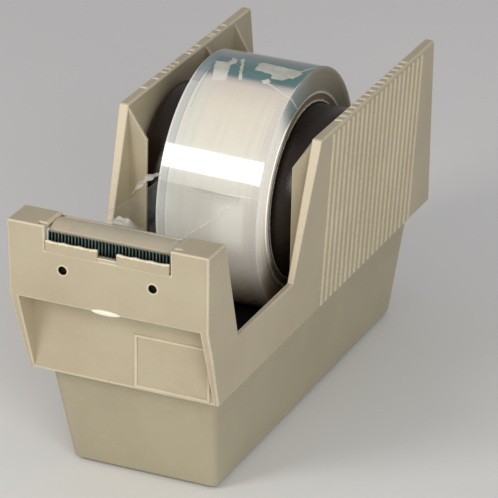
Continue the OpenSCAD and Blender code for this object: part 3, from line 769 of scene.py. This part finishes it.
    # side bands where light leaks out through the edges of the wraps
    lb = k.math("MULTIPLY", k.ramp(u0, -24.5, -24.0), k.ramp(u0, -21.6, -21.0, 1, 0))
    below = k.ramp(v0, mm(98), mm(108))
    col = k.mix(k.math("MULTIPLY", k.math("MULTIPLY", lb, below), 0.50), col, srgb(182, 189, 190))
    ln = k.math("MULTIPLY", k.ramp(k.math("ABSOLUTE", k.math("ADD", u0, 21.2)), 0.1, 0.35, 1, 0), below)
    col = k.mix(k.math("MULTIPLY", ln, 0.5), col, srgb(132, 140, 144))
    ln = k.math("MULTIPLY", k.ramp(k.math("ABSOLUTE", k.math("ADD", u0, 20.2)), 0.15, 0.5, 1, 0), below)
    col = k.mix(k.math("MULTIPLY", ln, 0.6), col, srgb(240, 240, 234))
    rb = k.math("MULTIPLY", k.ramp(u0, 20.4, 22.4), k.ramp(v0, mm(107), mm(120)))
    col = k.mix(k.math("MULTIPLY", rb, 0.42), col, srgb(212, 205, 203))
    rim = k.math("MULTIPLY", k.ramp(u0, -24.75, -25.15), k.ramp(v0, mm(92), mm(110), 0.25, 0.95))
    rim = k.math("ADD", rim, k.math("MULTIPLY", k.ramp(u0, 24.9, 25.2), k.math("MULTIPLY", k.ramp(v0, mm(98), mm(108)), k.ramp(v0, mm(130), mm(123), 0.25, 0.9))))
    col = k.mix(rim, col, srgb(246, 244, 238))
    streak = k.noise(900, 3, 0.6, k.stretch((0.04, 1, 1)))
    col = k.mix(k.ramp(streak, 0.58, 0.78, 0, 0.10), col, srgb(246, 244, 238))
    # scuffs that run with the wrap on the lower front
    scuff = k.noise(520, 4, 0.65, k.stretch((1, 0.10, 0.10)))
    col = k.mix(k.math("MULTIPLY", k.ramp(scuff, 0.55, 0.75, 0, 0.35), k.ramp(v0, mm(172), mm(196))), col, srgb(226, 223, 222))
    ripple = k.noise(260, 3, 0.5, k.stretch((1, 0.25, 0.25)))
    k.set(Base_Color=col, Roughness=k.ramp(cloud, 0.3, 0.7, 0.20, 0.30), Specular_IOR_Level=0.4, IOR=1.47, Coat_Weight=1.0, Coat_Roughness=0.025, Coat_IOR=1.5,
          Normal=k.bump(ripple, 0.05, 0.0003, k.bump(pale, 0.25, 0.0001)))
    return k.m


def roll_side():
    """Wound edges of the film: fine rings, a white line next to the core, and colour round the roll painted with light
    and shade: brownish at the top, blue-grey, pale at the lit front, darker towards the bottom.
    """
    k = Nodes("tape_film_edges")
    x, r, th = polar(k)
    th = k.math("WRAP", th, deg(270), deg(-90))
    u, v = k.math("MULTIPLY", r, 1000.0), k.math("MULTIPLY", th, ROLL_R)
    ringco = k.node("ShaderNodeCombineXYZ")
    k.link(k.math("MULTIPLY", r, 4200.0), ringco.inputs[0])
    k.link(k.math("MULTIPLY", th, 0.35), ringco.inputs[1])
    rings_ = k.noise(1.0, 3, 0.6, ringco.outputs[0])
    broad = k.node("ShaderNodeCombineXYZ")
    k.link(k.math("MULTIPLY", r, 420.0), broad.inputs[0])
    k.link(k.math("MULTIPLY", th, 1.1), broad.inputs[1])
    broad_ = k.noise(1.0, 2, 0.5, broad.outputs[0])
    # painted light and shade round the roll: pale where the front is lit, darker at the bottom
    col = k.stops(k.math("ADD", th, k.math("MULTIPLY", k.math("SUBTRACT", broad_, 0.5), 0.10)), deg(-90), deg(270), [
        (deg(-90), srgb(150, 140, 124)), (deg(-20), srgb(140, 132, 118)), (deg(50), srgb(143, 135, 119)), (deg(84), srgb(148, 143, 130)),
        (deg(96), srgb(156, 162, 155)), (deg(108), srgb(160, 174, 174)), (deg(118), srgb(176, 186, 186)), (deg(125), srgb(222, 222, 217)),
        (deg(134), srgb(255, 252, 245)), (deg(186), srgb(255, 251, 243)), (deg(204), srgb(226, 220, 210)), (deg(222), srgb(170, 150, 126)), (deg(250), srgb(110, 94, 74))])
    col = k.mix(k.ramp(u, 52, 48, 0, 0.28), col, srgb(132, 140, 130))
    col = k.mix(k.ramp(rings_, 0.4, 0.72, 0, 0.14), col, srgb(214, 212, 204))
    col = k.mix(k.ramp(broad_, 0.45, 0.75, 0, 0.16), col, srgb(112, 108, 98))
    # the crack carries on over the edge down to the core
    crack = k.stroke(u, v, (59.4, math.radians(112.2) * ROLL_R), (46.6, math.radians(105.6) * ROLL_R), 0.8, 0.2)
    col = k.mix(k.math("MULTIPLY", crack, 0.9), col, srgb(248, 248, 242))
    inner = k.ramp(k.math("SUBTRACT", u, k.ramp(th, deg(104), deg(130), 0, 0.45)), 47.35, 47.55, 1, 0)
    col = k.mix(k.math("MULTIPLY", inner, 0.95), col, srgb(255, 253, 248))
    outer = k.math("MULTIPLY", k.ramp(u, 58.6, 58.9), k.math("MULTIPLY", k.ramp(th, deg(96), deg(104)), k.ramp(th, deg(132), deg(126), 0.1, 0.7)))
    col = k.mix(outer, col, srgb(240, 238, 232))
    k.set(Base_Color=col, Roughness=k.ramp(rings_, 0.3, 0.7, 0.34, 0.48), Specular_IOR_Level=0.35, IOR=1.47, Coat_Weight=0.15, Coat_Roughness=0.15,
          Normal=k.bump(rings_, 0.15, 0.0001), Subsurface_Weight=1.0, Subsurface_Scale=0.012)
    k.bsdf.inputs["Subsurface Radius"].default_value = (1.0, 0.95, 0.88)
    # painted glow: emission on the front of the edges stands in for light that travels inside the wraps and leaves
    # through their edges
    piped = k.math("MULTIPLY", k.ramp(th, deg(112), deg(128)), k.ramp(th, deg(212), deg(164)))
    glow = k.mix(piped, (0, 0, 0), (0.39, 0.375, 0.35))
    k.set(Emission_Color=k.mix(k.math("MULTIPLY", piped, inner), glow, (0.95, 0.94, 0.92)), Emission_Strength=0.60)
    return k.m


def board():
    k = Nodes("core_board_wound")
    x, r, th = polar(k)
    co = k.node("ShaderNodeCombineXYZ")
    k.link(k.math("MULTIPLY", r, 2300.0), co.inputs[0])
    k.link(k.math("MULTIPLY", th, 2.0), co.inputs[1])
    k.link(k.math("MULTIPLY", x, 300.0), co.inputs[2])
    ply = k.noise(1.0, 3, 0.6, co.outputs[0])
    fibre = k.noise(1400, 4, 0.7)
    col = k.mix(k.ramp(ply, 0.3, 0.7), srgb(106, 90, 70), srgb(136, 119, 96))
    col = k.mix(k.ramp(fibre, 0.5, 0.75, 0, 0.4), col, srgb(172, 156, 130))
    jag = k.math("MULTIPLY_ADD", k.math("SUBTRACT", k.noise(500, 3, 0.6), 0.5), 0.0012, r)
    liner = k.math("MULTIPLY", k.ramp(jag, 0.04235, 0.04255), k.ramp(jag, 0.04325, 0.04305))
    col = k.mix(k.math("MULTIPLY", liner, 0.85), col, srgb(226, 224, 214))
    # near-black ring at the inner edge: painted shadow where the core meets the hub
    col = k.mix(k.ramp(jag, 0.0424, 0.0422, 0, 0.95), col, (0.008, 0.006, 0.005))
    col = k.mix(k.ramp(r, 0.0461, 0.0464, 0, 0.9), col, srgb(244, 240, 230))
    th = k.math("WRAP", th, deg(270), deg(-90))
    # paler towards the front: painted light on the lit side of the core's end
    front = k.math("MULTIPLY", k.ramp(th, deg(118), deg(140)), k.ramp(th, deg(214), deg(200)))
    pale = k.math("MULTIPLY", k.ramp(jag, 0.0441, 0.0447), front)
    col = k.mix(k.math("MULTIPLY", pale, 0.85), col, srgb(250, 246, 236))
    k.set(Base_Color=col, Roughness=k.ramp(fibre, 0.3, 0.7, 0.75, 0.92), Normal=k.bump(fibre, 0.35, 0.0003, k.bump(ply, 0.25, 0.0003)))
    return k.m


def film():
    """Single ply of clear tape: mostly see-through, a mirror-like face, milky where it is folded, pulled or rolled over an edge."""
    k = Nodes("clear_film_ply")
    uvn = k.node("ShaderNodeUVMap", uv_map="along")
    across, along, _ = k.xyz(uvn.outputs[0])
    haze = k.noise(120, 5, 0.65, k.stretch((1, 0.35, 1)))
    crease = k.noise(420, 3, 0.6, k.stretch((0.3, 1, 1)))
    wrinkle = k.noise(210, 4, 0.65, k.stretch((0.5, 1, 1.6)))
    # grey-green tint: painted reflection of a dark teal surround
    base = k.mix(k.ramp(haze, 0.35, 0.7), srgb(184, 196, 188), srgb(204, 212, 204))
    # milky places: edges, the start line, the folded flap, the buckle by the bar
    edge = k.math("MAXIMUM", k.ramp(across, 0.990, 0.997), k.math("MULTIPLY", k.ramp(across, 0.010, 0.004), 0.25))
    start = k.math("MULTIPLY", k.ramp(k.math("ABSOLUTE", k.math("SUBTRACT", along, 0.102)), 0.003, 0.008, 1, 0), k.ramp(across, 0.3, 0.75))
    flap = k.math("MULTIPLY", k.ramp(across, -0.1, -0.15), k.ramp(wrinkle, 0.35, 0.6, 0.25, 0.9))
    buckle = k.math("MULTIPLY", k.math("MULTIPLY", k.ramp(across, 0.22, 0.34), k.ramp(across, 0.58, 0.44)), k.math("MULTIPLY", k.ramp(along, 0.80, 0.83), k.ramp(along, 0.875, 0.85)))
    smudge = k.math("MULTIPLY", k.math("MULTIPLY", k.ramp(across, 0.25, 0.45), k.ramp(across, 0.95, 0.8)),
                    k.math("MULTIPLY", k.ramp(along, 0.098, 0.115), k.math("MULTIPLY", k.ramp(along, 0.21, 0.15), k.ramp(wrinkle, 0.5, 0.62))))
    milky = k.math("MAXIMUM", k.math("MAXIMUM", edge, start), k.math("MAXIMUM", flap, k.math("MULTIPLY", buckle, k.ramp(crease, 0.3, 0.6, 0.4, 1))))
    milky = k.math("MAXIMUM", milky, k.math("MULTIPLY", smudge, 0.35))
    k.set(Base_Color=k.mix(milky, base, srgb(236, 234, 224)), Roughness=k.ramp(haze, 0.3, 0.8, 0.05, 0.12), IOR=1.47, Specular_IOR_Level=0.4,
          Coat_Weight=0.3, Coat_Roughness=0.03, Normal=k.bump(crease, 0.10, 0.0004))
    on_roll = k.ramp(along, 0.092, 0.1)
    alpha = k.math("ADD", k.ramp(along, 0.3, 0.6, 0.075, 0.04), k.ramp(haze, 0.5, 0.78, 0.0, 0.05))
    alpha = k.math("ADD", alpha, k.math("MULTIPLY", milky, 0.42), clamp=True)
    k.set(Alpha=k.math("MULTIPLY", alpha, on_roll))
    return k.m


ROLL, ROLL_SIDE, BOARD, FILM = roll_surface(), roll_side(), board(), film()

# ------------------------------------------------------------------ blade holder, bar, blade, pins
def build_nose():
    # holder: floor, two lugs behind the wall and a front lip in two halves with a softly scalloped edge; the lips' top
    # and the floor's rounded edges take the lighter holder material as painted highlight
    bits = []
    f = block("holder_floor", (-30.0, -136.3, 123.6), (30.0, -119.5, 125.1))
    bits.append(shade(bevel(f, 0.3, lambda e: 1.0, segments=3, edge_slot=1), 50))
    for s in (-1, 1):
        g = block("holder_lug", (s * 21.85 - 4, -131.6, 109), (s * 21.85 + 4, -129.2, 123.9))
        g = boolean(g, cylinder("lug_bore", "y", 1.52, -140, -125, s * 21.85, 115.2, 40), "DIFFERENCE")
        bits.append(shade(bevel(g, 0.3, lambda e: 1.0 if e.calc_length() > 1 else 0.0, segments=2), 50))
        loops = []
        stations = [(4.6, 0.35), (4.68, 0.14), (4.9, 0.0)] + [(4.9 + 24.8 * i / 62, 0.0) for i in range(1, 62)] + [(29.7, 0.0), (29.92, 0.14), (30.0, 0.35)]
        for x, inset in stations:
            cut = min(146.4 - math.sqrt(max(0.0, 18 ** 2 - (x - c) ** 2)) for c in (9.8, 17.4, 25.0))
            z = min(128.8, cut) - 0.03 - inset
            z -= 0.10 * smooth(0.0, 0.4, 4.9 - x + 0.4)
            y0, y1 = -136.7 + inset, -135.1 - inset
            loops.append([(s * x, yy, zz) for yy, zz in ((y0, 123.6 + inset), (y0, z - 0.72), (y0 + 0.07, z - 0.38), (y0 + 0.24, z - 0.12), (y0 + 0.52, z),
                          (y1 - 0.34, z), (y1 - 0.12, z - 0.1), (y1, z - 0.34), (y1, 123.6 + inset))])
        lp = shade(rings("holder_lip", loops, closed=False, caps=True), 55)
        while len(lp.data.materials) < 2:
            lp.data.materials.append(None)
        # top faces of the lip in the lighter holder material: painted highlight
        for p in lp.data.polygons:
            if p.center.z > 127.9 and p.normal.z > 0.15:
                p.material_index = 1
        bits.append(lp)
    h = join("blade_holder_insert", bits)
    place(h, "housing", [HOLDER, HOLDER_EDGE_HIGHLIGHT], "blade_holder")

    # landing bar: convex top, ends a hair below the blocks beside it
    loops = []
    N = 28
    for x in [-30.25, -30.2, -30.0, -29.7, -29.2, -28, -26, -20, -10, 0, 10, 20, 26, 28, 29.2, 29.7, 30.0, 30.2, 30.25]:
        drop = 0.3 * smooth(29.9, 30.25, abs(x)) ** 2
        loop = []
        for i in range(N + 1):
            y = -131.85 + (12.9 * i / N)
            z = BAR_Z + math.sqrt(14 ** 2 - (y + 124.7) ** 2)
            loop.append((x, y, z - 0.02 - drop))
        loop += [(x, -118.95, 131.0), (x, -118.95, 125.4), (x, -131.85, 125.4), (x, -131.85, 129.6)]
        loops.append(loop)
    b = rings("landing_bar_curved", loops, closed=False, caps=True)
    bevel(b, 0.35, lambda e: 1.0, angle=50, segments=3)
    shade(b, 50)
    place(b, "housing", [BAR], "landing_bar")

    # blade: pressed corrugations, ground to a slope so each front ridge ends in a point
    n, L, per = 36, 58.8, 10
    p = L / n
    loops = []
    for i in range(n * per + 1):
        ph = (i % per) / per
        w = 0.5 - 0.5 * math.cos(2 * math.pi * ph)
        w = lerp(w, 1 - abs(2 * ph - 1), 0.35)
        x = -L / 2 + i * p / per
        yf = -134.48 + 1.05 * w
        top = BAR_Z + 12.7 - 1.22 * (yf + 134.48) * 1.25
        loops.append([(x, yf, 125.2), (x, yf, 128.5), (x, yf, 130.6), (x, yf, top - 0.08), (x, yf + 0.06, top),
                      (x, yf + 0.46, top - 0.62), (x, yf + 0.52, top - 0.75), (x, yf + 0.52, 128.5), (x, yf + 0.52, 125.2)])
    bl = rings("blade_strip", loops, closed=False, caps=True)
    shade(bl, 55)
    place(bl, "housing", [BLADE], "blade")


build_nose()


# ------------------------------------------------------------------ hub, core, roll
def fillet(poly, radii, seg=5):
    """Rounds the corners of a closed 2-D outline."""
    out = []
    n = len(poly)
    for i, p in enumerate(poly):
        r = radii.get(i, 0)
        p = Vector(p)
        if not r:
            out.append(tuple(p))
            continue
        a, b = (Vector(poly[i - 1]) - p).normalized(), (Vector(poly[(i + 1) % n]) - p).normalized()
        half = a.angle(b) / 2
        d = r / math.tan(half)
        c = p + (a + b).normalized() * (r / math.sin(half))
        s, e = p + a * d, p + b * d
        v0, v1 = s - c, e - c
        total = v0.angle_signed(v1)
        for j in range(seg + 1):
            rot = Matrix.Rotation(-total * j / seg, 2)
            out.append(tuple(c + rot @ v0))
    return out


def build_hub(s):
    poly = [(0.2, 10.1), (0.2, DRUM_R), (25.7, DRUM_R), (25.7, SHOULDER_R), (43.4, SHOULDER_R), (43.4, 37.5), (41, 37.5), (41, 10.0),
            (41.2, 9.6), (41.2, 6.0), (29, 6.0), (29, 10.0), (38, 10.0), (38, 36.5), (2.4, 36.5), (2.4, 10.1)]
    prof = fillet(poly, {3: 0.5, 4: 3.0, 5: 0.5, 6: 0.7, 13: 0.6, 11: 0.3}, 6)
    h = lathe_x("hub", [(s * x, r) for x, r in prof], 240)
    for k in range(6):
        a = math.radians(30 + 60 * k)
        cy, cz = HUB_Y - 23 * math.sin(a), HUB_Z + 23 * math.cos(a)
        x0, x1 = sorted((s * 36, s * 44))
        h = boolean(h, cylinder("window", "x", 7, x0, x1, cy, cz, 56), "DIFFERENCE")
    for k in range(3):
        a = math.radians(120 * k)
        cy, cz = HUB_Y - 23 * math.sin(a), HUB_Z + 23 * math.cos(a)
        x0, x1 = sorted((s * -1, s * 8))
        h = boolean(h, cylinder("screw_bore", "x", 1.6, x0, x1, cy, cz, 24), "DIFFERENCE")
    shade(h, 38, weighted=False)
    side = "right" if s > 0 else "left"
    place(h, "hub", [HUB], "hub_" + side)
    h.name = "hub_" + side + "_moulding"


build_hub(-1)
build_hub(1)


def build_roll():
    # core: wound board with plies that stand a little proud of each other
    def end_steps(r0, r1, step, depth, seed):
        rr = random.Random(seed)
        out, r = [], r0
        while r < r1 - step * 0.5:
            d = rr.random() * depth
            out += [(d, r + 0.02), (d, min(r + step, r1) - 0.02)]
            r += step
        return out

    def ring(name, r0, r1, hw, step, depth, seed, rim):
        right = [(hw - d, r) for d, r in end_steps(r0 + rim, r1 - rim, step, depth, seed)]
        left = [(-hw + d, r) for d, r in reversed(end_steps(r0 + rim, r1 - rim, step, depth, seed + 1))]
        q = rim * 0.3
        prof = [(-hw + rim, r0), (hw - rim, r0), (hw - q, r0 + q)] + right
        prof += [(hw - q, r1 - q), (hw - rim, r1)]
        prof += [(hw - rim - 0.2, r1)] + [(hw - rim - (2 * hw - 2 * rim) * i / 12, r1) for i in range(1, 12)] + [(-hw + rim + 0.2, r1)]
        prof += [(-hw + rim, r1), (-hw + q, r1 - q)] + left + [(-hw + q, r0 + q)]
        o = lathe_x(name, prof, 288)
        return o, len(prof)

    c, n = ring("core_board_ring", BORE_R, CORE_R, TAPE_HW, 0.48, 0.10, 11, 0.15)
    shade(c, 30, weighted=False)
    place(c, "hub", [BOARD], "core")

    t, n = ring("tape_roll_wound", CORE_R + 0.02, ROLL_R, TAPE_HW, 0.30, 0.035, 23, 0.16)
    for p in t.data.polygons:
        c_ = p.center
        rr_ = math.hypot(c_.y - HUB_Y, c_.z - HUB_Z)
        p.material_index = 0 if rr_ > ROLL_R - 0.12 else 1
    shade(t, 30, weighted=False)
    place(t, "hub", [ROLL, ROLL_SIDE], "tape_roll")


build_roll()


# ------------------------------------------------------------------ clear tape from the roll to the bar
def build_film():
    NU, NV = 84, 120
    grid = []
    for j in range(NV + 1):
        row = []
        for i in range(NU + 1):
            u = i / NU
            # start line on the roll runs nearly across; the right corner sits well inside the roll's edge
            x0 = lerp(-25.0, 16.3, u)
            a0 = math.radians(lerp(163.1, 164.3, u))
            xe = lerp(-20.5, 28.2, u)
            s = j / NV
            if s < 0.10:  # still lies on the roll
                k = s / 0.10
                a = lerp(math.radians(158.5), a0, k)
                r = ROLL_R + 0.30
                p = Vector((x0, HUB_Y + r * math.cos(a), HUB_Z + r * math.sin(a)))
            elif s < 0.86:
                k = (s - 0.10) / 0.76
                r = ROLL_R + 0.30
                st = Vector((x0, HUB_Y + r * math.cos(a0), HUB_Z + r * math.sin(a0)))
                q = math.radians(21)
                en = Vector((xe, -124.7 + 14.42 * math.sin(q), BAR_Z + 14.42 * math.cos(q)))
                p = st.lerp(en, k)
                p.z -= 4 * 3.0 * k * (1 - k) * (0.85 + 0.3 * math.sin(3.1 * u + 0.4)) * smooth(1.15, 0.75, u)
                # slack waves that grow towards the bar
                p.z += 0.5 * math.sin(9 * u + 5 * k) * smooth(0.1, 0.6, k) * smooth(1.0, 0.75, k)
                # buckle at the rear of the bar
                bump = math.exp(-((xe + 1.5) / 6.5) ** 2) * math.exp(-((k - 0.962) / 0.03) ** 2)
                p.z += 4.6 * bump * (1 + 0.12 * math.sin(1.3 * xe))
            else:
                k = (s - 0.86) / 0.14
                q = math.radians(lerp(21, -29, k))
                r = lerp(14.42, 14.2, k) + 0.25 * math.exp(-((xe + 1.5) / 7.0) ** 2) * math.exp(-(k / 0.2) ** 2)
                bump = math.exp(-((xe + 1.5) / 6.5) ** 2) * math.exp(-((1 + k * 0.25 - 0.962) / 0.03) ** 2)
                p = Vector((xe, -124.7 + r * math.sin(q), BAR_Z + r * math.cos(q) + 4.6 * bump))
            row.append(p)
        grid.append(row)
    v = [p for row in grid for p in row]
    f = [(j * (NU + 1) + i, j * (NU + 1) + i + 1, (j + 1) * (NU + 1) + i + 1, (j + 1) * (NU + 1) + i) for j in range(NV) for i in range(NU)]
    me = bpy.data.meshes.new("clear_tape_ply")
    me.from_pydata([tuple(p) for p in v], [], f)
    uv = me.uv_layers.new(name="along")
    for lp in me.loops:
        j, i = divmod(lp.vertex_index, NU + 1)
        uv.data[lp.index].uv = (i / NU, j / NV)
    o = bpy.data.objects.new("clear_tape_ply", me)
    scene.collection.objects.link(o)
    # a torn sliver that curls away from the roll's left edge
    a_, b_, up_ = Vector((-25.0, -28.0, 119.4)), Vector((-35.4, -37.4, 112.6)), Vector((-0.743, 0.011, 0.670)).normalized()
    side_ = (b_ - a_).cross(up_).normalized()
    sv, sf, nl = [], [], 30
    for j in range(nl + 1):
        t = j / nl
        wdt = 2.9 * math.sin(math.pi * min(1.0, t * 0.93 + 0.10)) ** 0.8 * (0.75 + 0.25 * math.sin(19 * t + 1.0))
        c_ = a_.lerp(b_, t) + Vector((0, 0, 1.0)) * (1.8 * math.sin(math.pi * t) ** 1.2 - 2.2 * t * t)
        for q_ in range(7):
            w_ = (q_ / 6 - 0.5) * 2
            sv.append(c_ + up_ * (wdt * w_ * 0.62) + side_ * (0.8 * (1 - w_ * w_) + 0.25 * math.sin(17 * t + 2 * w_)))
    sf = [(j * 7 + i, j * 7 + i + 1, (j + 1) * 7 + i + 1, (j + 1) * 7 + i) for j in range(nl) for i in range(6)]
    sm = bpy.data.meshes.new("sliver")
    sm.from_pydata([tuple(q_) for q_ in sv], [], sf)
    uv = sm.uv_layers.new(name="along")
    for lp in sm.loops:
        j, i = divmod(lp.vertex_index, 7)
        uv.data[lp.index].uv = (-0.2 - 0.1 * abs(i - 3), 0.3 + 0.3 * j / nl)
    so = bpy.data.objects.new("sliver", sm)
    scene.collection.objects.link(so)
    o = join("clear_tape_ply", [o, so])
    m = o.modifiers.new("thick", "SOLIDIFY")
    m.thickness, m.offset = 0.10, 0.0
    dg = bpy.context.evaluated_depsgraph_get()
    me2 = bpy.data.meshes.new_from_object(o.evaluated_get(dg))
    o.modifiers.clear()
    o.data = me2
    shade(o, 60, weighted=False)
    place(o, "axle", [FILM], "tape_strip")


build_film()

# ------------------------------------------------------------------ small hardware: CAD pieces with rounded copies and finishes; the well floor's black and the pins' black are partly painted shade
def small(node, name, body_, mat, width, seg=2, angle=45):
    o = copy_node(node, name)
    if width:
        bevel(o, width, lambda e: 1.0, angle=angle, segments=seg)
    shade(o, 38)
    place(o, body_, [mat], node)
    return o


small("bottom_plate", "bottom_cover", "housing", TUB, 0.3)
small("rubber_feet", "feet_rubber", "housing", RUBBER, 0.25)
# black well floor: partly painted shade deep in the well
small("well_floor", "well_floor_panel", "housing", FLOOR_BLACK_SHADE, 0.3)
small("ballast_block", "ballast_cast_block", "housing", STONE, 0.8)
for node, mat in (("base_screws", SCREW), ("joint_screws", SCREW), ("holder_pins", PIN_SHADE), ("hub_screws", SCREW), ("axle_rod", AXLE),
                  ("retaining_rings", AXLE), ("hub_bushes", NYLON)):
    nodes[node].data.materials[0] = mat

# ------------------------------------------------------------------ camera, light, floor
def camera():
    cam = bpy.data.cameras.new("camera")
    cam.sensor_fit, cam.sensor_width, cam.lens = "HORIZONTAL", 36.0, 3758.3 * 36.0 / 498.0
    cam.clip_start, cam.clip_end = 0.05, 100
    o = bpy.data.objects.new("camera", cam)
    scene.collection.objects.link(o)
    az, el, roll = (math.radians(v) for v in (23.38, 24.43, 1.16))
    back = Vector((math.sin(az) * math.cos(el), -math.cos(az) * math.cos(el), math.sin(el)))
    right = (-back).cross(Vector((0, 0, 1))).normalized()
    up = right.cross(-back)
    x = math.cos(roll) * right + math.sin(roll) * up
    y = -math.sin(roll) * right + math.cos(roll) * up
    o.matrix_world = Matrix(((x.x, y.x, back.x, 0.6479), (x.y, y.y, back.y, -1.4788), (x.z, y.z, back.z, 0.8083), (0, 0, 0, 1)))
    scene.camera = o
    return o


def area(name, loc, target, size, power, color=(1, 1, 1), spread=180, tilt=0):
    l = bpy.data.lights.new(name, "AREA")
    l.shape, l.size, l.size_y = "RECTANGLE", size[0], size[1]
    l.energy, l.color, l.spread = power, color, math.radians(spread)
    o = bpy.data.objects.new(name, l)
    scene.collection.objects.link(o)
    o.location = loc
    o.rotation_mode = "QUATERNION"
    o.rotation_quaternion = (Vector(target) - Vector(loc)).to_track_quat("-Z", "Y") @ Quaternion((0, 0, 1), math.radians(tilt))
    o.visible_camera = False
    return o


camera()
# key softbox whose mirror image lies across the roll, tilted about its own axis
key = area("key", (-0.465, -0.98, 0.72), (-0.465, 0.0, 0.12), (0.40, 0.40), 4.9, (1.0, 0.965, 0.92), tilt=-26)
fill = area("fill_right", (0.75, -0.95, 0.50), (0.02, -0.03, 0.08), (0.60, 0.60), 5.6, (0.97, 1.0, 0.97))
top = area("top_soft", (-0.1, 0.3, 1.9), (0, 0, 0.1), (1.6, 1.6), 0.8, (0.97, 0.98, 1.0))
world = bpy.data.worlds.new("studio")
scene.world = world
world.use_nodes = True
world.node_tree.nodes["Background"].inputs[0].default_value = (1.0, 0.98, 1.0, 1)
world.node_tree.nodes["Background"].inputs[1].default_value = 0.39
scene.view_settings.view_transform = "Standard"
scene.view_settings.look = "None"
floor = mesh_object("floor", [(-40, -40, 0), (40, -40, 0), (40, 40, 0), (-40, 40, 0)], [(0, 1, 2, 3)])
fm = Nodes("floor_paper")
fm.set(Base_Color=fm.mix(fm.ramp(fm.noise(3, 3, 0.5), 0.3, 0.7), (0.84, 0.84, 0.83), (0.87, 0.87, 0.86)), Roughness=0.9, Specular_IOR_Level=0.2)
floor.data.materials.append(fm.m)
